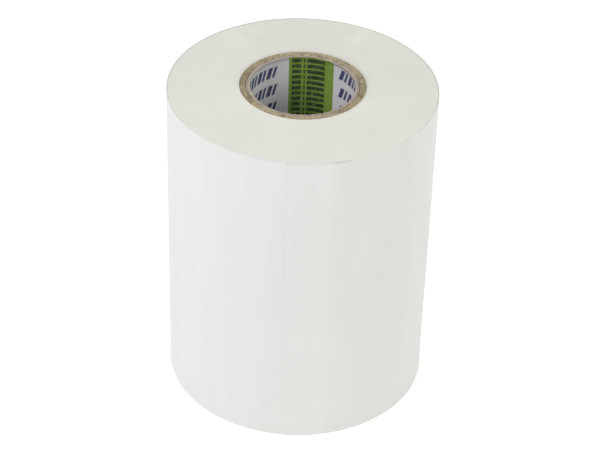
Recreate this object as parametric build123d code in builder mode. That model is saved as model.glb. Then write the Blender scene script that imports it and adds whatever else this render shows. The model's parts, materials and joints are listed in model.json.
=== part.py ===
from build123d import *

# Roll of wide white PVC grip tape, wound on a paperboard core. Millimetres.
#
# The roll stands on one end of its wound tape. The origin is the centre of that end, +Z runs
# up the core's axis, and -Y is the side where the tape's free end lies.
#
# From the bore outwards, the roll is made of
#   core_liner            printed paper that lines the bore, closed by a butt seam
#   core_ply_1 ... 5      paperboard plies, each bent round the one inside it, seams staggered
#   tape_first_turn       the turn that starts the tape, stuck to the core and slid up with it
#   tape_wound_pack       every turn between the first and the last
#   outer_turn_adhesive   the adhesive coat of the last turn
#   outer_turn_film       the PVC film of the last turn
#   free_end_adhesive     the adhesive coat of the loose tab that ends the tape
#   free_end_film         the PVC film of that tab, which peels open about its root

import os
from math import pi, sqrt

# ---------------------------------------------------------------- driving dimensions
tape_width = 100.0
tape_length = 20000.0
film_thickness = 0.166
adhesive_thickness = 0.030

core_bore_diameter = 32.2
liner_thickness = 0.15
ply_thickness = 0.47
ply_count = 5
core_overhang = 0.9  # how far the core has slid up out of the wound tape

seam_width = 0.3  # open width of a butt seam in the core
liner_seam_angle = -70.0  # angles are about +Z, from +X
first_ply_seam_angle = 20.0
ply_seam_step = 144.0  # from one ply's seam to the next

tape_start_angle = 40.0  # where the tape begins on the core
start_notch = 0.2  # open width in front of the tape's starting edge
cut_end_angle = -95.0  # where the tape's cut end lies
tab_angle = 29.0  # arc of the loose tab, from the cut end to its root
tab_root_slit = 0.15  # open width between the tab and the turn that it ends
tab_root_lift = 0.05  # radial gap under the tab at its root
tab_rest_angle = 0.7  # how far the tab stands open at rest

# ---------------------------------------------------------------- worked-out dimensions
turn_pitch = film_thickness + adhesive_thickness
core_length = tape_width
bore_radius = core_bore_diameter / 2
first_ply_radius = bore_radius + liner_thickness
core_radius = first_ply_radius + ply_count * ply_thickness

# Seen end on, the wound tape covers the same area as the strip seen from its edge.
roll_radius = sqrt(core_radius**2 + tape_length * turn_pitch / pi)
pack_radius = roll_radius - turn_pitch
pack_bore_radius = core_radius + turn_pitch

# A turn comes in by one pitch over two half circles. The second one is half a pitch smaller,
# and its centre is shifted by as much, so that the two meet smoothly half way round.
far_half_radius = pack_radius - turn_pitch / 2
far_half_centre = (-turn_pitch / 2, 0)

root_angle = cut_end_angle + tab_angle
root_slit_angle = tab_root_slit / roll_radius * 180 / pi

# ---------------------------------------------------------------- planes
core_base = Plane.XY.offset(core_overhang)
tape_start_base = core_base.rotated((0, 0, tape_start_angle))  # +X points at the start edge
cut_end_base = Plane.XY.rotated((0, 0, cut_end_angle))  # +X points at the cut end
root_base = Plane.XY.rotated((0, 0, root_angle))  # +X points at the tab's root

# The tab's own plane has its origin on the line that the tab turns about.
tab_hinge = root_base.from_local_coords(Vector(roll_radius, 0))
tab_base = root_base.shift_origin(tab_hinge).rotated((0, 0, tab_rest_angle))
roll_centre_from_hinge = (-roll_radius, 0)


def core_layer(inner_radius, wall, seam_angle):
    """A layer of the core: a tube as long as the core, open along one straight butt seam."""
    with BuildPart() as layer:
        with BuildSketch(core_base.rotated((0, 0, seam_angle))):
            Circle(inner_radius + wall)
            Circle(inner_radius, mode=Mode.SUBTRACT)
            with Locations((inner_radius + wall / 2, 0)):
                Rectangle(2 * wall, seam_width, mode=Mode.SUBTRACT)
        extrude(amount=core_length)
    return layer


def first_turn():
    """The tape's first turn: once round the core, up to its own starting edge."""
    with BuildPart() as turn:
        with BuildSketch(tape_start_base):
            Circle(pack_bore_radius)
            Circle(core_radius, mode=Mode.SUBTRACT)
            with Locations((core_radius + turn_pitch / 2, 0)):
                Rectangle(2 * turn_pitch, start_notch, mode=Mode.SUBTRACT)
        extrude(amount=tape_width)
    return turn


def wound_pack():
    """The turns between the first and the last, with a step where the last turn begins."""
    with BuildPart() as pack:
        with BuildSketch(cut_end_base):
            with BuildLine():
                near_half = CenterArc((0, 0), pack_radius, 0, 180)
                far_half = CenterArc(far_half_centre, far_half_radius, 180, 180)
                Line(far_half @ 1, near_half @ 0)
            make_face()
            Circle(pack_bore_radius, mode=Mode.SUBTRACT)
        extrude(amount=tape_width)
    return pack


def last_turn_layer(inside, outside):
    """A layer of the last turn, between two heights over the pack, from the tab's root round to
    the pack's step."""
    start = tab_angle + root_slit_angle / 2
    with BuildPart() as layer:
        with BuildSketch(cut_end_base):
            with BuildLine():
                near_inner = CenterArc((0, 0), pack_radius + inside, start, 180 - start)
                near_outer = CenterArc((0, 0), pack_radius + outside, start, 180 - start)
                far_inner = CenterArc(far_half_centre, far_half_radius + inside, 180, 180)
                far_outer = CenterArc(far_half_centre, far_half_radius + outside, 180, 180)
                Line(near_inner @ 0, near_outer @ 0)
                Line(far_inner @ 1, far_outer @ 1)
            make_face()
        extrude(amount=tape_width)
    return layer


def tab_layer(inside, outside):
    """A layer of the loose tab, between two heights over the pack, standing open as at rest."""
    lowest = pack_radius + tab_root_lift
    arc = tab_angle - root_slit_angle / 2
    with BuildPart() as layer:
        with BuildSketch(tab_base):
            with BuildLine():
                inner = CenterArc(roll_centre_from_hinge, lowest + inside, -tab_angle, arc)
                outer = CenterArc(roll_centre_from_hinge, lowest + outside, -tab_angle, arc)
                Line(inner @ 0, outer @ 0)
                Line(inner @ 1, outer @ 1)
            make_face()
        extrude(amount=tape_width)
    return layer


# ---------------------------------------------------------------- the pieces, by node name
pieces = {"core_liner": core_layer(bore_radius, liner_thickness, liner_seam_angle)}

for ply in range(ply_count):
    ply_radius = first_ply_radius + ply * ply_thickness
    seam_angle = first_ply_seam_angle + ply * ply_seam_step
    pieces[f"core_ply_{ply + 1}"] = core_layer(ply_radius, ply_thickness, seam_angle)

pieces["tape_first_turn"] = first_turn()
pieces["tape_wound_pack"] = wound_pack()
pieces["outer_turn_adhesive"] = last_turn_layer(0, adhesive_thickness)
pieces["outer_turn_film"] = last_turn_layer(adhesive_thickness, turn_pitch)
pieces["free_end_adhesive"] = tab_layer(0, adhesive_thickness)
pieces["free_end_film"] = tab_layer(adhesive_thickness, turn_pitch)

os.makedirs("parts", exist_ok=True)
for name, piece in pieces.items():
    piece.part.label = name
    export_step(piece.part, f"parts/{name}.step")

print("outer diameter", round(2 * roll_radius, 3))
print("tab hinge", [round(value, 4) for value in tab_hinge])
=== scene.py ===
import json
from math import atan2, cos, exp, hypot, pi, radians, sin

import bmesh
import bpy
from bpy.props import FloatProperty, FloatVectorProperty, IntProperty, PointerProperty
from mathutils import Matrix, Vector, noise


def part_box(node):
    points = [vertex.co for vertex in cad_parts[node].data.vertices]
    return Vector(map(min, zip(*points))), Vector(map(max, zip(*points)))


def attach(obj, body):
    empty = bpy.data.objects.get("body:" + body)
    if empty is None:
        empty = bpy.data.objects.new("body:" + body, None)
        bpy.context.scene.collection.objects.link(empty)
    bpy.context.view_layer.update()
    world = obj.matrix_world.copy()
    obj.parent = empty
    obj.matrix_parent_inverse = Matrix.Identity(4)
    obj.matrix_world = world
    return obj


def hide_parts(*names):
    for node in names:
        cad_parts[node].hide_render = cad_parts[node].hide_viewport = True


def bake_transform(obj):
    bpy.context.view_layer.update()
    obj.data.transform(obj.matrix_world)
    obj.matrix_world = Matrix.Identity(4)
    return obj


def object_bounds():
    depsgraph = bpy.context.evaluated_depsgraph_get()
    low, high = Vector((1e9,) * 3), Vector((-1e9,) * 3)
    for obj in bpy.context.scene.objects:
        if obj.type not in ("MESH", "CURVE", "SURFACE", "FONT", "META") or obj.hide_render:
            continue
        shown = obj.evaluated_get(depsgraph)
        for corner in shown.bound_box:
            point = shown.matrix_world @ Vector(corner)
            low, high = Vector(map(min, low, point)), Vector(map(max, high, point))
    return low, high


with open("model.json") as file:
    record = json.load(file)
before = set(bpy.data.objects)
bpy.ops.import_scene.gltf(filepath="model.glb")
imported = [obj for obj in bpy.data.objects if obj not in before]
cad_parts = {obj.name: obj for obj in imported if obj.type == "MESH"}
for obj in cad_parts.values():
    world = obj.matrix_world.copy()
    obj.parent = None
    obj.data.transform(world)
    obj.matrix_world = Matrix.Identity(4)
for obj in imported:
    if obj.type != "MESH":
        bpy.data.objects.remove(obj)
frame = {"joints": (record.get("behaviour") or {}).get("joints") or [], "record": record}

bl_info = {
    "name": "Grip tape roll",
    "version": (1, 0, 0),
    "blender": (4, 5, 0),
    "location": "3D View > Sidebar > Grip Tape",
    "description": "Builds the looks of a roll of wide white grip tape round its CAD frame",
    "category": "Add Mesh",
}

cad_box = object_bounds()

MM = 0.001

# ---------------------------------------------------------------- places read from the frame
bore = next(mount for mount in frame["record"]["mounts"] if mount["name"] == "core_bore")
bore_radius = bore["dims"]["r_mm"] * MM
core_low, core_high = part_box("core_ply_5")
tape_low, tape_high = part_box("tape_wound_pack")
tab_hinge = Vector(frame["joints"][0]["pos_m"])
roll_radius = hypot(tab_hinge.x, tab_hinge.y)
root_angle = atan2(tab_hinge.y, tab_hinge.x)


# ============================== what a user would change
def length(name, default, description):
    """A length setting, in metres."""
    return FloatProperty(name=name, description=description, default=default, precision=6, unit="LENGTH")


def number(name, default, description, subtype="NONE"):
    """A setting that is a plain number, an angle or a power."""
    return FloatProperty(name=name, description=description, default=default, subtype=subtype)


def colour(name, default, description):
    """A colour setting."""
    return FloatVectorProperty(name=name, description=description, default=default, subtype="COLOR")


class GripTapeSizes(bpy.types.PropertyGroup):
    """Sizes of the wound tape and its loose tab."""

    turn_pitch: length("Turn Pitch", 0.196 * MM, "Thickness of one turn, film and adhesive")
    adhesive: length("Adhesive", 0.030 * MM, "Thickness of the adhesive coat under the film")
    tab_angle: number(
        "Tab Angle", radians(29), "Arc of the loose tab, from the tape's cut end to its root", "ANGLE"
    )
    lap_angle: number(
        "Lap Angle", radians(15),
        "Arc of the last turn, past the root, that is one mesh with the tab", "ANGLE"
    )
    pucker: length("Pucker", 0.82 * MM, "How far the film stands off the roll just before the tab's root")
    edge_groove: length("Edge Groove", 0.012 * MM, "Depth of the groove between the edges of two turns")
    edge_wander: length("Edge Wander", 0.035 * MM, "How unevenly the turns stand at the end faces")
    telescoping: length(
        "Telescoping", 0.80 * MM, "How far the innermost turns have slid up out of the roll with the core"
    )
    collar_width: length(
        "Collar Width", 0.90 * MM,
        "How far out from the core the slid-up turns reach before they have mostly died away"
    )
    rim_width: length(
        "Rim Width", 0.8 * MM, "How far in from the rim its pressed stretch beside the cut end reaches"
    )
    rim_depth: length(
        "Rim Depth", 0.5 * MM, "How far down the roll's side the pressed stretch of its rim reaches"
    )
    rim_bend: length("Rim Bend", 0.20 * MM, "Radius that the film's top edge bends in")
    columns: IntProperty(
        name="Columns",
        description="Mesh columns round the wound tape",
        default=192,
        min=48,
        max=256,
    )


class GripTapeColours(bpy.types.PropertyGroup):
    """Colours of the tape's film and adhesive."""

    film: colour("Film", (0.710, 0.717, 0.672), "White of the film's smooth side")
    edges: colour(
        "Wound Edges", (0.765, 0.767, 0.674), "Warmer white of the film's cut edges, at the end faces"
    )
    adhesive: colour("Adhesive", (0.70, 0.68, 0.60), "Milky coat under the film")


class GripCoreLook(bpy.types.PropertyGroup):
    """Sizes and colours of the paperboard core."""

    liner: length("Liner", 0.15 * MM, "Thickness of the printed paper that lines the bore")
    ply: length("Ply", 0.47 * MM, "Thickness of one ply of the core")
    glue_line: length(
        "Glue Line", 0.07 * MM, "Width of the dark line between two plies at the core's cut ends"
    )
    plies: IntProperty(
        name="Plies",
        description="Number of paperboard plies",
        default=5,
        min=1,
        max=8,
    )
    seam: length("Seam", 0.3 * MM, "Open width of a ply's butt seam")
    roughness: length("Cut Roughness", 0.11 * MM, "How far the sawn ends of the board stand up and down")
    tan_board: colour("Tan Board", (0.515, 0.440, 0.285), "Tan of the better plies")
    grey_board: colour("Grey Board", (0.450, 0.384, 0.255), "Grey-brown of the plies of recycled board")
    pale_board: colour("Pale Board", (0.500, 0.445, 0.345), "Pale grey of the ply behind the liner")


class GripLinerPrint(bpy.types.PropertyGroup):
    """Colours and spacings of the print on the core's liner."""

    paper: colour("Paper", (0.690, 0.690, 0.680), "Unprinted paper")
    torn: colour("Torn Paper", (0.500, 0.430, 0.355), "The paper's rough inside, where its edge is torn")
    green: colour("Green", (0.200, 0.320, 0.034), "The green strip")
    dark: colour("Dark", (0.014, 0.034, 0.010), "The rows of dashes on the green strip")
    blue: colour("Blue", (0.012, 0.008, 0.110), "The slanted bars")
    dash_pitch: number("Dash Pitch", 1.9, "Height from one row of dashes to the next, in millimetres")
    bar_pitch: number("Bar Pitch", 6.15, "Height from one row of slanted bars to the next, in millimetres")


class GripStudio(bpy.types.PropertyGroup):
    """Strengths of the studio's lights."""

    low_sky: number("Low Sky", 0.02, "Strength of the white surroundings up to 20 degrees high")
    middle_sky: number("Middle Sky", 1.00, "Strength of the white surroundings from 20 to 53 degrees high")
    top_sky: number("Top Sky", 0.0, "Strength of the white surroundings overhead")
    floor_glow: number("Floor Glow", 0.62, "Light that the translucent floor gives off round the roll")
    key: number("Key", 4.05, "Power of the large soft light at the front left", "POWER")
    back: number("Back", 0.3, "Power of the soft light behind, over the end face", "POWER")
    fill: number("Fill", 1.7, "Power of the soft light at the right", "POWER")


# ============================== mesh helpers
def polar(radius, angle, height):
    """A point at a distance from the roll's axis, an angle about it and a height."""
    return Vector((radius * cos(angle), radius * sin(angle), height))


def ease(value):
    """0 below 0, 1 above 1 and a smooth rise between."""
    value = min(1.0, max(0.0, value))
    return value * value * (3 - 2 * value)


def bump(value):
    """1 at 0, falling smoothly to 0 at -1 and 1."""
    return ease(1 - abs(value))


def around(angle, centre):
    """The signed angle from a centre, in degrees."""
    return (angle - centre + pi) % (2 * pi) * 180 / pi - 180


def wave(angle, height, across, seed):
    """Smooth noise round the roll and along it, from -1 to 1. It closes on itself round the roll."""
    point = Vector((cos(angle) * across, sin(angle) * across, height))
    return noise.noise(point + Vector((seed, 2.7 * seed, 0)))


def spin_profile(points, start, sweep, steps):
    """Turns a closed profile of (radius, height) points about the roll's axis. Returns the bmesh
    and, for each vertex, its profile point and how far round it is."""
    bm = bmesh.new()
    ring = [bm.verts.new(polar(radius, start, height)) for radius, height in points]
    edges = [bm.edges.new((ring[i - 1], ring[i])) for i in range(len(ring))]
    bmesh.ops.spin(
        bm,
        geom=ring + edges,
        cent=(0, 0, 0),
        axis=(0, 0, 1),
        dvec=(0, 0, 0),
        angle=sweep,
        steps=steps,
        use_merge=False,
        use_duplicate=False,
    )
    bm.verts.index_update()
    count = len(points)
    places = {}
    for vert in bm.verts:
        column, row = divmod(vert.index, count)
        places[vert] = (points[row][0], points[row][1], sweep * column / steps)
    return bm, places


def close_ends(bm):
    """Fills the open ends of a part-turn spin, merges its doubles and turns its faces out."""
    bmesh.ops.remove_doubles(bm, verts=bm.verts[:], dist=1e-7)
    rim = [edge for edge in bm.edges if edge.is_boundary]
    bmesh.ops.holes_fill(bm, edges=rim, sides=0)
    bmesh.ops.recalc_face_normals(bm, faces=bm.faces[:])


def finish_piece(bm, name, materials, sharp=35):
    """Makes an object of a bmesh, smooth but for its sharp edges, with its materials, by name."""
    for face in bm.faces:
        face.smooth = True
    for edge in bm.edges:
        edge.smooth = edge.is_manifold and edge.calc_face_angle(0) < radians(sharp)
    mesh = bpy.data.meshes.new(name)
    bm.to_mesh(mesh)
    bm.free()
    piece = bpy.data.objects.new(name, mesh)
    bpy.context.scene.collection.objects.link(piece)
    for material in materials:
        mesh.materials.append(bpy.data.materials[material])
    return piece


# ============================== shader helpers
def add_node(tree, kind, values=(), **settings):
    """Adds a node, sets its properties and sets or links its inputs, given as (name, value)."""
    node = tree.nodes.new(kind)
    for key, value in settings.items():
        setattr(node, key, value)
    for key, value in values:
        if isinstance(value, bpy.types.NodeSocket):
            tree.links.new(value, node.inputs[key])
        else:
            node.inputs[key].default_value = value
    return node


def calc(tree, operation, a, b=0.0, c=0.0):
    """A Math node's output."""
    return add_node(tree, "ShaderNodeMath", [(0, a), (1, b), (2, c)], operation=operation).outputs[0]


def times(tree, a, b):
    """Two values multiplied."""
    return calc(tree, "MULTIPLY", a, b)


def plus(tree, a, b):
    """Two values added."""
    return calc(tree, "ADD", a, b)


def remap(tree, value, low, high, to_low=0.0, to_high=1.0):
    """A value carried smoothly from one range to another, held at its ends."""
    values = [("Value", value), ("From Min", low), ("From Max", high)]
    values += [("To Min", to_low), ("To Max", to_high)]
    return add_node(tree, "ShaderNodeMapRange", values, interpolation_type="SMOOTHSTEP").outputs[0]


def between(tree, value, low, high, soft):
    """A mask that is 1 from low to high, with soft edges."""
    rise = remap(tree, value, low - soft, low + soft)
    fall = remap(tree, value, high - soft, high + soft, 1.0, 0.0)
    return times(tree, rise, fall)


def shade(colour, factor):
    """A colour made darker or lighter by a factor."""
    return [min(1.0, factor * part) for part in colour]


def blend_colours(tree, mask, a, b):
    """Colour a where the mask is 0 and colour b where it is 1."""
    mix = add_node(tree, "ShaderNodeMix", [(0, mask)], data_type="RGBA")
    for index, value in ((6, a), (7, b)):
        if isinstance(value, bpy.types.NodeSocket):
            tree.links.new(value, mix.inputs[index])
        else:
            mix.inputs[index].default_value = (*value, 1.0)
    return mix.outputs[2]


def scaled(tree, vector, factor):
    """A vector or a colour times a value."""
    values = [(0, vector), ("Scale", factor)]
    return add_node(tree, "ShaderNodeVectorMath", values, operation="SCALE").outputs[0]


def vector_of(tree, x, y, z):
    """A vector made of three values."""
    return add_node(tree, "ShaderNodeCombineXYZ", [(0, x), (1, y), (2, z)]).outputs[0]


def noise_of(tree, vector, scale, detail=2.0, rough=0.5):
    """A Noise Texture's value, about 0.5."""
    values = [("Vector", vector), ("Scale", scale), ("Detail", detail), ("Roughness", rough)]
    return add_node(tree, "ShaderNodeTexNoise", values).outputs[0]


def new_group(name, inputs, outputs):
    """An empty shader node group. Returns the group, its input sockets and its output node."""
    group = bpy.data.node_groups.new(name, "ShaderNodeTree")
    for title, kind in inputs:
        group.interface.new_socket(name=title, in_out="INPUT", socket_type=f"NodeSocket{kind}")
    for title, kind in outputs:
        group.interface.new_socket(name=title, in_out="OUTPUT", socket_type=f"NodeSocket{kind}")
    entry = group.nodes.new("NodeGroupInput")
    leave = group.nodes.new("NodeGroupOutput")
    return group, entry.outputs, leave


def leave_group(group, leave, **results):
    """Links a group's results to its outputs."""
    for title, socket in results.items():
        group.links.new(socket, leave.inputs[title])


def use_group(tree, name, **values):
    """Places a group in a tree. Returns its outputs."""
    node = add_node(tree, "ShaderNodeGroup", node_tree=bpy.data.node_groups[name])
    for key, value in values.items():
        if isinstance(value, bpy.types.NodeSocket):
            tree.links.new(value, node.inputs[key])
        else:
            node.inputs[key].default_value = value
    return node.outputs


def new_material(name, **constants):
    """A Principled material with its constant sockets set. Returns its tree, its shader and its
    Object coordinates."""
    material = bpy.data.materials.new(name)
    material.use_nodes = True
    tree = material.node_tree
    shader = tree.nodes["Principled BSDF"]
    for key, value in constants.items():
        shader.inputs[key.replace("_", " ")].default_value = value
    place = tree.nodes.new("ShaderNodeTexCoord").outputs["Object"]
    return tree, shader, place


def add_bump(tree, shader, height, distance):
    """Feeds a height, in the given size in metres, to the shader's normal."""
    node = add_node(tree, "ShaderNodeBump", [("Height", height), ("Distance", distance), ("Strength", 1.0)])
    tree.links.new(node.outputs[0], shader.inputs["Normal"])


# ============================== shader groups
def make_polar_group():
    """Places on the roll: azimuth from +Y towards +X in degrees, radius and height in millimetres."""
    group, entry, leave = new_group(
        "polar_place", [("Vector", "Vector")],
        [("Azimuth", "Float"), ("Radius", "Float"), ("Height", "Float")],
    )
    parts = add_node(group, "ShaderNodeSeparateXYZ", [(0, entry["Vector"])]).outputs
    turn = calc(group, "ARCTAN2", parts[0], parts[1])
    squares = plus(group, times(group, parts[0], parts[0]), times(group, parts[1], parts[1]))
    leave_group(
        group,
        leave,
        Azimuth=calc(group, "DEGREES", turn),
        Radius=times(group, calc(group, "SQRT", squares), 1000.0),
        Height=times(group, parts[2], 1000.0),
    )


def make_speck_group():
    """Scattered specks: one in some of the cells of a Voronoi pattern."""
    group, entry, leave = new_group(
        "scattered_specks",
        [("Vector", "Vector"), ("Scale", "Float"), ("Size", "Float"), ("Share", "Float")],
        [("Mask", "Float"), ("Dome", "Float")],
    )
    cells = add_node(group, "ShaderNodeTexVoronoi", [("Vector", entry["Vector"]), ("Scale", entry["Scale"])])
    tint = add_node(group, "ShaderNodeSeparateColor", [(0, cells.outputs["Color"])]).outputs
    chosen = calc(group, "LESS_THAN", tint[0], entry["Share"])
    size = times(group, entry["Size"], plus(group, tint[1], 0.4))
    ratio = calc(group, "DIVIDE", cells.outputs["Distance"], size)
    mask = times(group, remap(group, ratio, 0.55, 1.0, 1.0, 0.0), chosen)
    dome = times(group, remap(group, ratio, 0.0, 1.0, 1.0, 0.0), chosen)
    leave_group(group, leave, Mask=mask, Dome=dome)


def make_fibre_group():
    """Paper fibres: short streaks in two directions, over a soft mottle."""
    group, entry, leave = new_group(
        "paper_fibres", [("Vector", "Vector"), ("Scale", "Float")], [("Tone", "Float"), ("Height", "Float")]
    )
    total = None
    for turn, stretch in ((0.5, (1.0, 5.0, 1.6)), (2.0, (4.0, 1.0, 1.9))):
        mapping = add_node(group, "ShaderNodeMapping", [("Vector", entry["Vector"])])
        mapping.inputs["Rotation"].default_value = (0.3 * turn, 0.2, turn)
        mapping.inputs["Scale"].default_value = stretch
        streak = noise_of(group, mapping.outputs[0], entry["Scale"], 4.0, 0.6)
        total = streak if total is None else plus(group, total, streak)
    fibre = remap(group, total, 0.75, 1.25)
    mottle = noise_of(group, entry["Vector"], times(group, entry["Scale"], 0.12), 3.0)
    tone = plus(group, times(group, fibre, 0.6), times(group, mottle, 0.4))
    leave_group(group, leave, Tone=tone, Height=fibre)


# ============================== materials
def make_film_material():
    """The film's smooth side: white, half glossy, with soft streaks, dust and trapped pimples."""
    colours = bpy.context.scene.grip_colours
    tree, shader, place = new_material("white_film", IOR=1.5, Specular_IOR_Level=0.42)
    polar_place = use_group(tree, "polar_place", Vector=place)
    streaks = noise_of(
        tree,
        vector_of(
            tree, times(tree, polar_place["Azimuth"], 0.11), 0.0, times(tree, polar_place["Height"], 0.012)
        ),
        1.0, 3.0, 0.55,
    )
    mottle = noise_of(tree, place, 45.0, 3.0)
    tone = plus(
        tree, remap(tree, streaks, 0.3, 0.7, -0.012, 0.012), remap(tree, mottle, 0.3, 0.7, -0.010, 0.010)
    )
    along = times(tree, polar_place["Azimuth"], radians(roll_radius))
    unrolled = vector_of(tree, along, times(tree, polar_place["Height"], MM), 0.0)
    dust = use_group(tree, "scattered_specks", Vector=unrolled, Scale=95.0, Size=0.035, Share=0.08)
    pimples = use_group(tree, "scattered_specks", Vector=unrolled, Scale=60.0, Size=0.075, Share=0.14)
    bright = plus(tree, tone, 1.0)
    white = scaled(tree, colours.film, bright)
    dusty = blend_colours(tree, times(tree, dust["Mask"], 0.30), white, (0.25, 0.25, 0.22))
    tree.links.new(dusty, shader.inputs["Base Color"])
    tree.links.new(remap(tree, mottle, 0.3, 0.7, 0.36, 0.46), shader.inputs["Roughness"])
    grain = noise_of(tree, place, 900.0, 3.0)
    height = plus(tree, pimples["Dome"], times(tree, grain, 0.05))
    height = plus(tree, height, times(tree, streaks, 0.8))
    add_bump(tree, shader, height, 0.03 * MM)


def make_edge_material():
    """The film's cut edges at the end faces: warm white, with rings where turns differ a little, dust in the
    grooves, a few nicks and painted sheen: lighter fans at the back left and back right, stronger towards
    the rim."""
    colours = bpy.context.scene.grip_colours
    tree, shader, place = new_material("wound_edges", IOR=1.5, Specular_IOR_Level=0.5)
    polar_place = use_group(tree, "polar_place", Vector=place)
    rings_in = times(tree, polar_place["Radius"], 2.1)
    turn = calc(tree, "RADIANS", polar_place["Azimuth"])
    ring_place = vector_of(tree, rings_in, calc(tree, "SINE", turn), calc(tree, "COSINE", turn))
    rings = noise_of(tree, ring_place, 1.0, 4.0, 0.6)
    cloud = noise_of(tree, place, 60.0, 3.0)
    tone = plus(
        tree, remap(tree, rings, 0.3, 0.7, -0.012, 0.012), remap(tree, cloud, 0.3, 0.7, -0.016, 0.016)
    )
    # Painted sheen: lighter fans of the end face at the back left and back right, stronger towards the rim.
    for middle, width, strength in ((-38.0, 5.0, 0.040), (-23.0, 3.0, 0.018), (30.0, 4.0, 0.045)):
        across = plus(tree, polar_place["Azimuth"], remap(tree, cloud, 0.3, 0.7, -2.5, 2.5))
        painted_sheen_fan = between(tree, across, middle - width, middle + width, 3.0)
        reach = remap(tree, polar_place["Radius"], 21.0, 33.0)
        tone = plus(tree, tone, times(tree, times(tree, painted_sheen_fan, reach), strength))
    white = scaled(tree, colours.edges, plus(tree, tone, 1.0))
    values = [(0, place), (1, (1.0, 1.0, 0.0))]
    flat = add_node(tree, "ShaderNodeVectorMath", values, operation="MULTIPLY").outputs[0]
    dust = use_group(tree, "scattered_specks", Vector=flat, Scale=170.0, Size=0.050, Share=0.10)
    dusty = blend_colours(tree, times(tree, dust["Mask"], 0.45), white, (0.25, 0.25, 0.17))
    tree.links.new(dusty, shader.inputs["Base Color"])
    tree.links.new(remap(tree, rings, 0.3, 0.7, 0.34, 0.46), shader.inputs["Roughness"])


def make_adhesive_material():
    """The adhesive coat: milky, smooth and a little cloudy."""
    colours = bpy.context.scene.grip_colours
    tree, shader, place = new_material("adhesive_coat", IOR=1.47, Coat_Weight=0.3, Coat_Roughness=0.15)
    cloud = noise_of(tree, place, 220.0, 4.0)
    tint = blend_colours(tree, remap(tree, cloud, 0.3, 0.7), colours.adhesive, shade(colours.adhesive, 0.9))
    tree.links.new(tint, shader.inputs["Base Color"])
    tree.links.new(remap(tree, cloud, 0.3, 0.7, 0.18, 0.34), shader.inputs["Roughness"])
    add_bump(tree, shader, cloud, 0.01 * MM)


def make_board_material(name, colour):
    """Paperboard: fibres and flecks in a brown that varies, rougher on the sawn ends."""
    tree, shader, place = new_material(name, Specular_IOR_Level=0.2, Roughness=0.9)
    fibres = use_group(tree, "paper_fibres", Vector=place, Scale=900.0)
    flecks = use_group(tree, "scattered_specks", Vector=place, Scale=1100.0, Size=0.30, Share=0.35)
    base = blend_colours(tree, fibres["Tone"], shade(colour, 0.36), shade(colour, 1.55))
    stained = remap(tree, noise_of(tree, place, 420.0, 3.0, 0.6), 0.50, 0.66, 0.0, 0.6)
    base = blend_colours(tree, stained, base, [0.45 * colour[0], 0.38 * colour[1], 0.36 * colour[2]])
    flecked = blend_colours(tree, times(tree, flecks["Mask"], 0.5), base, (0.68, 0.60, 0.46))
    tree.links.new(flecked, shader.inputs["Base Color"])
    add_bump(tree, shader, fibres["Height"], 0.06 * MM)


def make_paper_material():
    """The liner's bare paper, at its torn edges and back: off-white, with darker flecks."""
    torn = bpy.context.scene.grip_print.torn
    tree, shader, place = new_material("torn_paper", Specular_IOR_Level=0.15, Roughness=0.9)
    fibres = use_group(tree, "paper_fibres", Vector=place, Scale=1100.0)
    tint = blend_colours(tree, fibres["Tone"], shade(torn, 0.62), shade(torn, 1.3))
    tree.links.new(tint, shader.inputs["Base Color"])
    add_bump(tree, shader, fibres["Height"], 0.08 * MM)


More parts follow.
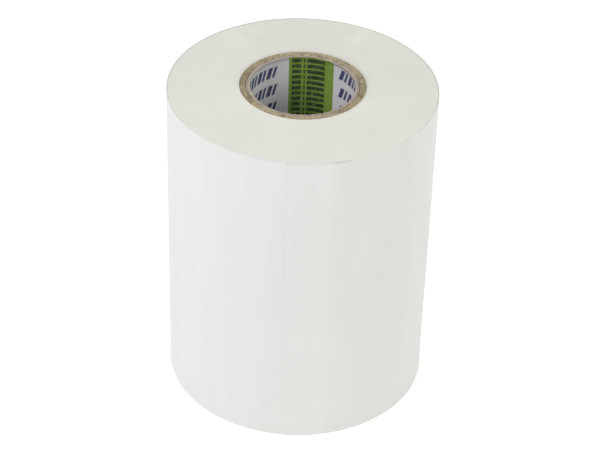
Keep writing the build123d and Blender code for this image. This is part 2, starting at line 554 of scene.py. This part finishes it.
def make_print_material():
    """The liner's printed face: a green strip with rows of dark dashes, and rows of slanted blue
    bars on white, under a thin gloss."""
    ink = bpy.context.scene.grip_print
    tree, shader, place = new_material("liner_print", Coat_Weight=0.15, Coat_Roughness=0.22)
    polar_place = use_group(tree, "polar_place", Vector=place)
    azimuth = calc(tree, "WRAP", polar_place["Azimuth"], 160.0, -200.0)
    depth = calc(tree, "SUBTRACT", tape_high.z / MM, polar_place["Height"])
    bore_mm = bore_radius / MM
    arc = times(tree, azimuth, radians(bore_mm))

    strip = between(tree, azimuth, -15.6, 34.2, 0.25)
    row = calc(tree, "DIVIDE", plus(tree, depth, 0.2), ink.dash_pitch)
    row_number = calc(tree, "FLOOR", row)
    in_row = between(tree, calc(tree, "FRACT", row), 0.15, 0.84, 0.07)
    words = between(tree, azimuth, -12.2, -2.2, 0.4)
    words = calc(tree, "MAXIMUM", words, between(tree, azimuth, 4.0, 23.6, 0.4))
    words = calc(tree, "MAXIMUM", words, between(tree, azimuth, 0.2, 2.0, 0.3))
    place_in_row = vector_of(tree, times(tree, arc, 1.9), times(tree, row, 1.6), row_number)
    strokes = remap(tree, noise_of(tree, place_in_row, 1.0, 1.0), 0.27, 0.40)
    dashes = times(tree, times(tree, strokes, words), in_row)

    bar_offset = remap(tree, azimuth, -25.0, 40.0, -0.40, 0.60)
    bar_row = calc(tree, "DIVIDE", plus(tree, depth, bar_offset), ink.bar_pitch)
    bar_level = calc(tree, "FRACT", bar_row)
    in_bar_row = between(tree, bar_level, 0.22, 0.80, 0.03)
    upright = plus(tree, arc, times(tree, calc(tree, "SUBTRACT", bar_level, 0.5), 2.0))
    left_end = radians(-28.0) * bore_mm
    right_end = radians(42.5) * bore_mm
    bar_pair = (right_end - left_end) / 5
    bar_run = calc(tree, "FRACT", calc(tree, "DIVIDE", calc(tree, "SUBTRACT", upright, right_end), bar_pair))
    wide_bar = between(tree, bar_run, 0.05, 0.45, 0.03)
    bars = calc(tree, "MAXIMUM", wide_bar, between(tree, bar_run, 0.60, 0.84, 0.03))
    clear = calc(tree, "SUBTRACT", 1.0, between(tree, upright, left_end, right_end, 0.05))
    bars = times(tree, bars, times(tree, in_bar_row, clear))

    wear = noise_of(tree, place, 700.0, 3.0)
    printed = blend_colours(tree, strip, ink.paper, ink.green)
    printed = blend_colours(tree, times(tree, dashes, 0.95), printed, ink.dark)
    printed = blend_colours(tree, times(tree, bars, 0.94), printed, ink.blue)
    faded = blend_colours(tree, remap(tree, wear, 0.30, 0.80, 0.0, 0.07), printed, ink.paper)
    from_top = calc(tree, "SUBTRACT", core_high.z / MM, polar_place["Height"])
    sideways = calc(tree, "ABSOLUTE", plus(tree, azimuth, 8.0))
    torn_depth = remap(tree, sideways, 35.0, 80.0, 0.35, 1.7)
    ragged = times(tree, noise_of(tree, place, 420.0, 4.0, 0.65), times(tree, torn_depth, 2.0))
    scuffed = remap(tree, calc(tree, "SUBTRACT", from_top, ragged), -0.10, 0.10, 0.95, 0.0)
    grain = use_group(tree, "paper_fibres", Vector=place, Scale=1100.0)["Tone"]
    bare = blend_colours(tree, grain, shade(ink.torn, 0.7), shade(ink.torn, 1.3))
    torn = blend_colours(tree, scuffed, faded, bare)
    tree.links.new(torn, shader.inputs["Base Color"])
    tree.links.new(remap(tree, wear, 0.3, 0.7, 0.38, 0.5), shader.inputs["Roughness"])
    fibres = use_group(tree, "paper_fibres", Vector=place, Scale=600.0)
    add_bump(tree, shader, fibres["Height"], 0.008 * MM)


def make_lint_material():
    """Loose paper fibres: off-white, thin."""
    tree, shader, place = new_material("paper_lint", Specular_IOR_Level=0.2, Roughness=0.9)
    tint = blend_colours(tree, noise_of(tree, place, 300.0), (0.62, 0.55, 0.38), (0.85, 0.82, 0.70))
    tree.links.new(tint, shader.inputs["Base Color"])


def make_floor_material():
    """A plain, nearly white floor that glows faintly, but for where the roll stands, with painted shade:
    dark grey inside the bore.
    """
    constants = {"Specular_IOR_Level": 0.1, "Roughness": 0.9, "Emission_Strength": 1.0}
    tree, shader, place = new_material("studio_floor", **constants)
    studio = bpy.context.scene.grip_studio
    cloud = blend_colours(tree, noise_of(tree, place, 3.0), (0.61, 0.61, 0.61), (0.63, 0.63, 0.63))
    radius = use_group(tree, "polar_place", Vector=place)["Radius"]
    # Painted shade: the floor inside the bore is dark grey.
    painted_bore_shade = remap(tree, radius, bore_radius / MM, bore_radius / MM + 2.0, 1.0, 0.0)
    tree.links.new(blend_colours(tree, painted_bore_shade, cloud, (0.10, 0.10, 0.10)), shader.inputs["Base Color"])
    glow = remap(tree, radius, roll_radius / MM - 2.0, roll_radius / MM + 1.0, 0.0, studio.floor_glow)
    tree.links.new(vector_of(tree, glow, glow, glow), shader.inputs["Emission Color"])


# ============================== the tape's shape
def turn_drop(turned, pitch):
    """How far a turn has come in, a given angle counter-clockwise from the cut end: nothing in the
    first half turn and one pitch over the second."""
    return 0.0 if turned < pi else pitch / 2 * (1 + cos(turned))


def rim_press(degrees):
    """The pressed stretch of the rim, as a share of its full size, at an angle from the cut end. It
    starts 21 degrees before the cut end and dies away 26 degrees past it."""
    return min(ease((degrees + 21) / 10), ease((26 - degrees) / 22))


def rim_dip(angle, inset):
    """How far down the end face is at a distance in from its rim: the pressed stretch slopes down
    to the rim, and elsewhere the outermost turns round over a little."""
    sizes = bpy.context.scene.grip_sizes
    share = rim_press(around(angle, root_angle - sizes.tab_angle))
    slope = max(0.0, sizes.rim_width * share - inset) * sizes.rim_depth / sizes.rim_width
    rounding = 0.10 * MM * ease(1 - inset / (0.6 * MM))
    return slope + rounding * (1 - share) + 0.05 * MM * share


def folded(path, straight, steepest):
    """Where film gets to that stands straight and then bends inwards to a lean: its inset, its rise
    and its lean, a distance along it."""
    bend = bpy.context.scene.grip_sizes.rim_bend
    lean = min(max(path - straight, 0.0) / bend, steepest)
    along = max(path - straight - bend * steepest, 0.0)
    inset = bend * (1 - cos(lean)) + along * sin(lean)
    return inset, min(path, straight) + bend * sin(lean) + along * cos(lean), lean


def core_radius():
    """The outside of the core's last ply."""
    core = bpy.context.scene.grip_core
    return bore_radius + core.liner + core.plies * core.ply


def telescoped(radius):
    """How far the turn at a radius has slid up with the core: the innermost turns stand round it as
    a collar, and the rest lean a little, down to nothing at the rim."""
    sizes = bpy.context.scene.grip_sizes
    share = (roll_radius - radius) / (roll_radius - core_radius())
    collar = exp((core_radius() - radius) / sizes.collar_width)
    return sizes.telescoping * (0.75 * collar + 0.25 * share)


def edge_level(strip_turn, angle):
    """How far a turn's edge stands above or below the mean end face. strip_turn counts turns
    along the tape, so the level runs on smoothly from turn to turn."""
    wander = bpy.context.scene.grip_sizes.edge_wander
    slow = noise.noise(Vector((0.16 * strip_turn, 3.1, 0.2)))
    quick = noise.noise(Vector((1.7 * strip_turn, 9.4, 0.5)))
    lean = wave(angle, 0.05 * strip_turn, 0.8, 5.0)
    return wander * (0.9 * slow + 0.5 * quick + 0.8 * lean)


# ============================== operators: the pieces
class GRIP_OT_materials(bpy.types.Operator):
    """Make the shader groups and the materials"""

    bl_idname = "grip.materials"
    bl_label = "Materials"

    def execute(self, context):
        make_polar_group()
        make_speck_group()
        make_fibre_group()
        make_film_material()
        make_edge_material()
        make_adhesive_material()
        core = context.scene.grip_core
        make_board_material("tan_board", core.tan_board)
        make_board_material("grey_board", core.grey_board)
        make_board_material("pale_board", core.pale_board)
        make_paper_material()
        make_print_material()
        make_lint_material()
        make_floor_material()
        return {"FINISHED"}


class GRIP_OT_wound_tape(bpy.types.Operator):
    """Wind every turn but the last on the core, as one spiral of film edges"""

    bl_idname = "grip.wound_tape"
    bl_label = "Wound Tape"

    def execute(self, context):
        sizes = context.scene.grip_sizes
        top, bottom = tape_high.z, tape_low.z
        outer = roll_radius - sizes.turn_pitch
        inner = core_radius()
        turns = round((outer - inner) / sizes.turn_pitch)
        pitch = (outer - inner) / turns
        halves = range(2 * turns + 1)
        profile = [(inner + 0.5 * half * pitch, top) for half in halves]
        profile += [(inner + 0.5 * half * pitch, bottom) for half in reversed(halves)]
        start = root_angle - sizes.tab_angle
        bm, places = spin_profile(profile, start, 2 * pi, sizes.columns)
        for vert, (radius, height, turned) in places.items():
            half = round(2 * (radius - inner) / pitch)
            drop = turn_drop(turned, pitch)
            share = 1.0 - drop / pitch if half == 1 else 1.0
            placed = inner + (pitch - drop) / 2 if half == 1 else radius - drop
            placed = inner if half == 0 else placed
            ridge = half % 2 * share
            angle = start + turned
            strip_turn = 0.5 * half - drop / pitch if half > 0 else 0.0
            level = edge_level(strip_turn, angle) - sizes.edge_groove * (1 - ridge)
            level += telescoped(placed)
            if height == top:
                level -= rim_dip(angle, outer - drop - placed)
            else:
                level = max(0.0, level)
            vert.co = polar(placed, angle, height + level)
        close_ends(bm)
        for face in bm.faces:
            height = face.calc_center_median().z
            face.material_index = 1 if tape_low.z + 1 * MM < height < tape_high.z - 2 * MM else 0
        piece = finish_piece(bm, "wound_tape", ["wound_edges", "white_film"])
        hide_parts("tape_wound_pack", "tape_first_turn")
        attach(piece, "roll")
        return {"FINISHED"}


def film_rows():
    """Heights of a film's mesh rows: close together near both edges, most at the top edge, which is
    folded over, and even between."""
    low = [0.0, 0.03, 0.25, 0.7, 1.3, 2.1, 3.2, 4.6]
    high = [0.0, 0.02] + [0.12 * step for step in range(1, 25)] + [3.1, 3.6, 4.6]
    width = (tape_high.z - tape_low.z) / MM
    middle = [low[-1] + (width - low[-1] - high[-1]) * step / 36 for step in range(1, 36)]
    return [row * MM for row in low + middle + [width - row for row in reversed(high)]]


def film_profile(inner, outer):
    """A closed profile of one layer of film, with its outer corners broken."""
    corner = min(0.03 * MM, (outer - inner) / 3)
    rows = film_rows()
    face = [(outer, tape_low.z + row) for row in rows[1:-1]]
    back = [(inner, tape_low.z + row) for row in reversed(rows)]
    return [(outer - corner, tape_low.z)] + face + [(outer - corner, tape_high.z)] + back


def film_ripple(angle, height):
    """The slight unevenness of the roll's outside: soft bands along the axis."""
    bands = wave(angle, 6.0 * height, 5.0, 1.0)
    broad = wave(angle, 14.0 * height, 1.6, 8.0)
    return (0.016 * bands + 0.05 * broad) * MM


def shape_film(places, start, gap=None):
    """Moves a film's vertices to the spiral, the ripples, the tab's gap and the fold at the rim."""
    sizes = bpy.context.scene.grip_sizes
    cut_end = root_angle - sizes.tab_angle
    under = roll_radius - sizes.turn_pitch
    reach = 3.0 * MM
    steepest = atan2(sizes.rim_width, sizes.rim_depth)
    for vert, (radius, height, turned) in places.items():
        angle = start + turned
        from_end = angle - cut_end
        out = under - turn_drop(from_end, sizes.turn_pitch) + film_ripple(angle, height)
        if gap:
            out += gap(from_end, height)
        thick = radius - under
        path = height - tape_high.z + reach
        if path <= 0:
            vert.co = polar(out + thick, angle, height)
            continue
        share = rim_press(around(angle, cut_end))
        sloping = 0.8 * share * hypot(sizes.rim_width, sizes.rim_depth)
        upright = reach - share * sizes.rim_depth
        straight = upright - 0.5 * steepest * sizes.rim_bend
        inset, rise, lean = folded(path * (upright + sloping) / reach, straight, steepest)
        level = edge_level(107 - from_end / (2 * pi), angle) * path / reach
        raised = tape_high.z - reach + rise + level
        vert.co = polar(out - inset + thick * cos(lean), angle, raised + thick * sin(lean))


def film_layer(name, start, sweep, column, coat, gap=None):
    """The film of a stretch of the last turn, or its adhesive coat, with mesh columns this far apart."""
    sizes = bpy.context.scene.grip_sizes
    pack = roll_radius - sizes.turn_pitch
    inner, outer = (pack, pack + sizes.adhesive) if coat else (pack + sizes.adhesive, roll_radius)
    bm, places = spin_profile(film_profile(inner, outer), start, sweep, round(sweep / column))
    shape_film(places, start, gap)
    close_ends(bm)
    if coat:
        return finish_piece(bm, name, ["adhesive_coat"])
    return finish_piece(bm, name, ["white_film"])


class GRIP_OT_outer_turn(bpy.types.Operator):
    """Lay the last turn round the roll, film and adhesive, from past the tab's root to the step"""

    bl_idname = "grip.outer_turn"
    bl_label = "Outer Turn"

    def execute(self, context):
        sizes = context.scene.grip_sizes
        start = root_angle + sizes.lap_angle
        sweep = 2 * pi - sizes.tab_angle - sizes.lap_angle
        film = film_layer("outer_turn_film_skin", start, sweep, radians(1.5), coat=False)
        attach(film, "roll")
        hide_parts("outer_turn_film")
        coat = film_layer("outer_turn_adhesive_coat", start, sweep, radians(1.5), coat=True)
        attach(coat, "roll")
        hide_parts("outer_turn_adhesive")
        return {"FINISHED"}


def tab_gap(from_end, height):
    """How far the tab stands off the roll: a pucker just before the root, a close fit towards the
    cut end and a slight lift at the cut end itself, more at the top corner."""
    sizes = bpy.context.scene.grip_sizes
    degrees = from_end * 180 / pi
    root = sizes.tab_angle * 180 / pi
    if degrees >= root:
        return 0.0
    pucker_height, pucker_arc = 26 * MM, 9.5
    corner_height, corner_arc, corner_lift = 2.2 * MM, 2.6, 0.85 * MM
    below_top = tape_high.z - height
    fade = ease(1 - below_top / pucker_height)
    pucker = sizes.pucker * bump((degrees - root + pucker_arc) / pucker_arc) * fade
    lift = corner_lift * ease(1 - below_top / corner_height) * ease(1 - degrees / corner_arc)
    return pucker + lift + 0.02 * MM * ease((root - degrees) / 6)


class GRIP_OT_free_end(bpy.types.Operator):
    """Make the tab at the tape's cut end, film and adhesive, bending at its root"""

    bl_idname = "grip.free_end"
    bl_label = "Free End"

    def execute(self, context):
        sizes = context.scene.grip_sizes
        start = root_angle - sizes.tab_angle
        lapped = sizes.tab_angle + sizes.lap_angle
        film = film_layer("free_end_film_skin", start, lapped, radians(0.75), False, tab_gap)
        self.bend(film)
        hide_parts("free_end_film")
        coat = film_layer("free_end_adhesive_coat", start, sizes.tab_angle, radians(0.75), True, tab_gap)
        self.bend(coat)
        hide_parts("free_end_adhesive")
        return {"FINISHED"}

    def bend(self, piece):
        """Bakes the piece's transform into its mesh."""
        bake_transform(piece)


# ============================== operators: the core
def rough_end(angle, radius, seed):
    """How far a sawn end of the board stands up or down at a place."""
    rough = bpy.context.scene.grip_core.roughness
    slow = wave(angle, 90 * radius, 2.2, seed)
    torn = wave(angle, 700 * radius, 28.0, seed + 4)
    fine = wave(angle, 2600 * radius, 75.0, seed + 9)
    return rough * (0.7 * slow + 0.8 * torn + 0.6 * fine)


class GRIP_OT_core_plies(bpy.types.Operator):
    """Bend the core's paperboard plies, with rough sawn ends and open butt seams"""

    bl_idname = "grip.core_plies"
    bl_label = "Core Plies"

    def execute(self, context):
        core = context.scene.grip_core
        boards = ("pale_board", "grey_board", "tan_board", "grey_board", "tan_board")
        for ply in range(core.plies):
            self.make_ply(core, ply, boards[ply % len(boards)])
        return {"FINISHED"}

    def make_ply(self, core, ply, board):
        """One ply, pinched at its ends, so that a glue line of uneven width shows."""
        inner = bore_radius + core.liner + ply * core.ply
        outer = inner + core.ply
        middle = (inner + outer) / 2
        top, bottom = core_high.z, core_low.z
        radii = [inner + core.ply * step / 4 for step in range(5)]
        deep = 1.0 * MM
        profile = [(inner, bottom + deep), (inner, top - deep)]
        profile += [(radius, top) for radius in radii]
        profile += [(outer, top - deep), (outer, bottom + deep)]
        profile += [(radius, bottom) for radius in reversed(radii)]
        seam = radians(20 + 144 * ply)
        half_gap = core.seam / 2 / inner
        bm, places = spin_profile(profile, seam + half_gap, 2 * pi - 2 * half_gap, 420)
        for vert, (radius, height, turned) in places.items():
            angle = seam + half_gap + turned
            if height in (top, bottom):
                edge = abs(radius - middle) / (core.ply / 2)
                level = rough_end(angle, radius, 10 + 7 * ply) - 0.16 * MM * edge ** 3
                level -= 0.10 * MM * max(0.0, wave(angle, 0.0, 3.0, 50 + 3 * ply))
                line = core.glue_line * (0.4 + 1.2 * max(0.0, wave(angle, 0.0, 5.0, 31 + ply)))
                line += 0.12 * MM if ply in (0, core.plies - 1) and radius > middle else 0.0
                pinched = middle + (radius - middle) * (1 - 2 * line / core.ply)
                vert.co = polar(pinched, angle, height + (level if height == top else -level))
        close_ends(bm)
        piece = finish_piece(bm, f"core_ply_{ply + 1}_board", [board], 50)
        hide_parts(f"core_ply_{ply + 1}")
        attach(piece, "roll")


class GRIP_OT_core_liner(bpy.types.Operator):
    """Line the bore with printed paper, frayed at its cut edges"""

    bl_idname = "grip.core_liner"
    bl_label = "Core Liner"

    def execute(self, context):
        core = context.scene.grip_core
        top, bottom = core_high.z, core_low.z
        inner = bore_radius
        outer = bore_radius + core.liner - 0.01 * MM
        rows = [0.0, 0.15, 0.35, 0.6, 0.9, 1.25, 1.7, 2.6, 5.0, 15.0, 30.0]
        length = (top - bottom) / MM
        face = [row * MM for row in rows + [50.0] + [length - row for row in reversed(rows)]]
        lip = [inner + (outer - inner) * share for share in (0.2, 0.4, 0.6, 0.8)]
        profile = [(inner, bottom + row) for row in reversed(face)]
        profile += [(radius, bottom) for radius in lip]
        profile += [(outer, bottom + row) for row in face]
        profile += [(radius, top) for radius in reversed(lip)]
        seam = radians(-70)
        half_gap = core.seam / 2 / inner
        bm, places = spin_profile(profile, seam + half_gap, 2 * pi - 2 * half_gap, 480)
        loose = 1.6 * MM
        for vert, (radius, height, turned) in places.items():
            angle = seam + half_gap + turned
            near_top = ease((height - top + loose) / loose)
            near_bottom = ease((bottom + loose - height) / loose)
            fray = self.fray(angle, 3.0) * near_top - self.fray(angle, 17.0) * near_bottom
            inward = (outer - radius) / (outer - inner)
            curl = self.curl(angle) * max(near_top, near_bottom) ** 1.5 * inward
            shag = 0.16 * MM * wave(angle, 900.0 * radius, 45.0, 61.0) if 0 < inward < 1 else 0.0
            bead = 0.10 * MM * (4 * inward * (1 - inward)) * (near_top - near_bottom)
            vert.co = polar(radius - curl, angle, height + fray + bead + shag)
        close_ends(bm)
        for face in bm.faces:
            centre = face.calc_center_median()
            inwards = -Vector((centre.x, centre.y, 0)).normalized()
            face.material_index = 1 if face.normal.dot(inwards) > 0.7 else 0
        piece = finish_piece(bm, "core_liner_paper", ["torn_paper", "liner_print"], 50)
        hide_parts("core_liner")
        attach(piece, "roll")
        return {"FINISHED"}

    def fray(self, angle, seed):
        """How far the paper's cut edge stands up or down: a wandering cut with small tears."""
        slow = wave(angle, 0.0, 1.3, seed)
        tear = max(0.0, wave(angle, 0.0, 16.0, seed + 2) - 0.25)
        fine = wave(angle, 0.0, 60.0, seed + 5)
        return (0.10 * slow - 0.50 * tear + 0.16 * fine - 0.22) * MM

    def curl(self, angle):
        """How far the torn edge swells into the bore: most at the sides, least at front and back."""
        swell = 0.14 + 0.55 * cos(angle) ** 2 + 0.14 * wave(angle, 0.0, 2.4, 23.0)
        shag = 0.12 * wave(angle, 0.0, 11.0, 29.0) + 0.06 * wave(angle, 0.0, 40.0, 37.0)
        return max(0.03, swell + shag) * MM


class GRIP_OT_paper_lint(bpy.types.Operator):
    """Stand short loose fibres along the core's sawn top end"""

    bl_idname = "grip.paper_lint"
    bl_label = "Paper Lint"

    def execute(self, context):
        core = context.scene.grip_core
        bm = bmesh.new()
        hairs = 150
        for count in range(hairs):
            draw = [noise.cell(Vector((count, 0.5, seed))) for seed in (1.0, 2.0, 3.0, 4.0, 5.0)]
            angle = 2 * pi * (count + draw[0]) / hairs
            wall = bore_radius + core.liner * 0.5 + draw[1] ** 2 * 5 * core.ply
            self.add_hair(bm, angle, wall, draw)
        bmesh.ops.recalc_face_normals(bm, faces=bm.faces[:])
        piece = finish_piece(bm, "core_paper_lint", ["paper_lint"], 80)
        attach(piece, "roll")
        return {"FINISHED"}

    def add_hair(self, bm, angle, wall, draw):
        """One curved, tapering fibre of six rings, leaning along and across the rim."""
        long = (0.25 + 0.55 * draw[2]) * MM
        thick = (0.014 + 0.014 * draw[3]) * MM
        root = polar(wall, angle, core_high.z - 0.1 * MM)
        along = polar(1, angle + pi / 2, 0)
        across = polar(1, angle, 0)
        heading = 2 * pi * draw[4]
        lean = along * cos(heading) + across * sin(heading) * 0.6
        rings = []
        for step in range(6):
            share = step / 5
            rise = Vector((0, 0, long * 0.75 * share * (1 - 0.45 * share)))
            centre = root + lean * long * share ** 1.5 + rise
            radius = thick * (1 - 0.6 * share)
            made = bmesh.ops.create_circle(bm, cap_ends=step in (0, 5), segments=4, radius=radius)
            bmesh.ops.translate(bm, verts=made["verts"], vec=centre)
            rings.append(made["verts"])
        for lower, upper in zip(rings, rings[1:]):
            edges = {edge for vert in lower + upper for edge in vert.link_edges
                     if edge.verts[0] in lower + upper and edge.verts[1] in lower + upper}
            loop = [edge for edge in edges if (edge.verts[0] in lower) == (edge.verts[1] in lower)]
            bmesh.ops.bridge_loops(bm, edges=loop)


# ============================== the stage
class GRIP_OT_stage(bpy.types.Operator):
    """Set up the pale floor, the soft lights and the camera"""

    bl_idname = "grip.stage"
    bl_label = "Stage"

    def execute(self, context):
        studio = context.scene.grip_studio
        self.floor()
        self.surroundings(studio)
        self.soft_light("key_light", -50, 45, 0.9, 0.45, studio.key, (0.91, 0.90, 1.0))
        white = (1.0, 1.0, 1.0)
        self.soft_light("back_light", 162, 50, 1.0, 0.35, studio.back, white)
        self.soft_light("fill_light", 70, 30, 0.9, 0.45, studio.fill, white)
        self.camera()
        return {"FINISHED"}

    def floor(self):
        bm = bmesh.new()
        bmesh.ops.create_circle(bm, cap_ends=True, segments=96, radius=4.0)
        bmesh.ops.translate(bm, verts=bm.verts[:], vec=(0, 0, cad_box[0].z - 0.02 * MM))
        mesh = bpy.data.meshes.new("studio_floor")
        bm.to_mesh(mesh)
        bm.free()
        floor = bpy.data.objects.new("studio_floor", mesh)
        mesh.materials.append(bpy.data.materials["studio_floor"])
        bpy.context.scene.collection.objects.link(floor)

    def surroundings(self, studio):
        """White surroundings, brightest at middle height, and plain white where they are seen."""
        world = bpy.data.worlds.new("studio")
        world.use_nodes = True
        tree = world.node_tree
        direction = tree.nodes.new("ShaderNodeTexCoord").outputs["Generated"]
        up = add_node(tree, "ShaderNodeSeparateXYZ", [(0, direction)]).outputs[2]
        rise = remap(tree, up, 0.25, 0.45, studio.low_sky, studio.middle_sky)
        fall = remap(tree, up, 0.70, 0.90, 0.0, studio.middle_sky - studio.top_sky)
        strength = calc(tree, "SUBTRACT", rise, fall)
        seen = tree.nodes.new("ShaderNodeLightPath").outputs["Is Camera Ray"]
        tree.nodes["Background"].inputs["Color"].default_value = (1.0, 1.0, 1.0, 1.0)
        tree.links.new(calc(tree, "MAXIMUM", strength, seen), tree.nodes["Background"].inputs["Strength"])
        bpy.context.scene.world = world

    def soft_light(self, name, turn, height, distance, size, power, colour):
        """A square soft light, aimed at the roll. turn is in degrees from -Y towards +X, height in
        degrees over the floor."""
        light = bpy.data.lights.new(name, "AREA")
        light.shape = "SQUARE"
        light.size = size
        light.energy = power
        light.color = colour
        lamp = bpy.data.objects.new(name, light)
        bpy.context.scene.collection.objects.link(lamp)
        target = Vector((0, 0, 0.05))
        aim = polar(cos(radians(height)), radians(turn - 90), sin(radians(height)))
        facing = (-aim).to_track_quat("-Z", "Y").to_matrix().to_4x4()
        lamp.matrix_world = Matrix.Translation(target + distance * aim) @ facing

    def camera(self):
        lens = bpy.data.cameras.new("camera")
        lens.lens = 120.0
        lens.sensor_width = 36.0
        lens.clip_start, lens.clip_end = 0.05, 20.0
        camera = bpy.data.objects.new("camera", lens)
        bpy.context.scene.collection.objects.link(camera)
        stand = Vector((0.42 * MM, -496.2 * MM, tape_high.z + 310.2 * MM))
        target = Vector((0.42 * MM, -23.63 * MM, tape_high.z - 32.58 * MM))
        aim = (target - stand).to_track_quat("-Z", "Y").to_matrix().to_4x4()
        camera.matrix_world = Matrix.Translation(stand) @ aim @ Matrix.Rotation(radians(1.76), 4, "Z")
        bpy.context.scene.camera = camera
        bpy.context.scene.view_settings.view_transform = "Standard"


# ============================== the panel
class GRIP_PT_panel(bpy.types.Panel):
    """Lists the roll's operators and settings"""

    bl_idname = "GRIP_PT_panel"
    bl_label = "Grip Tape Roll"
    bl_space_type = "VIEW_3D"
    bl_region_type = "UI"
    bl_category = "Grip Tape"

    def draw(self, context):
        for operator in OPERATORS:
            self.layout.operator(operator.bl_idname)
        for settings in SETTINGS:
            group = getattr(context.scene, settings)
            box = self.layout.box()
            for name in group.bl_rna.properties.keys():
                if name not in ("rna_type", "name"):
                    box.prop(group, name)


OPERATORS = (
    GRIP_OT_materials,
    GRIP_OT_wound_tape,
    GRIP_OT_outer_turn,
    GRIP_OT_free_end,
    GRIP_OT_core_plies,
    GRIP_OT_core_liner,
    GRIP_OT_paper_lint,
    GRIP_OT_stage,
)
SETTINGS = {
    "grip_sizes": GripTapeSizes,
    "grip_colours": GripTapeColours,
    "grip_core": GripCoreLook,
    "grip_print": GripLinerPrint,
    "grip_studio": GripStudio,
}


def register():
    for kind in (*SETTINGS.values(), *OPERATORS, GRIP_PT_panel):
        bpy.utils.register_class(kind)
    for name, kind in SETTINGS.items():
        setattr(bpy.types.Scene, name, PointerProperty(type=kind))


def unregister():
    for name in SETTINGS:
        delattr(bpy.types.Scene, name)
    for kind in (GRIP_PT_panel, *reversed(OPERATORS), *SETTINGS.values()):
        bpy.utils.unregister_class(kind)


def main():
    register()
    bpy.ops.grip.materials()
    bpy.ops.grip.wound_tape()
    bpy.ops.grip.outer_turn()
    bpy.ops.grip.free_end()
    bpy.ops.grip.core_plies()
    bpy.ops.grip.core_liner()
    bpy.ops.grip.paper_lint()
    bpy.ops.grip.stage()


if __name__ == "__main__":
    main()
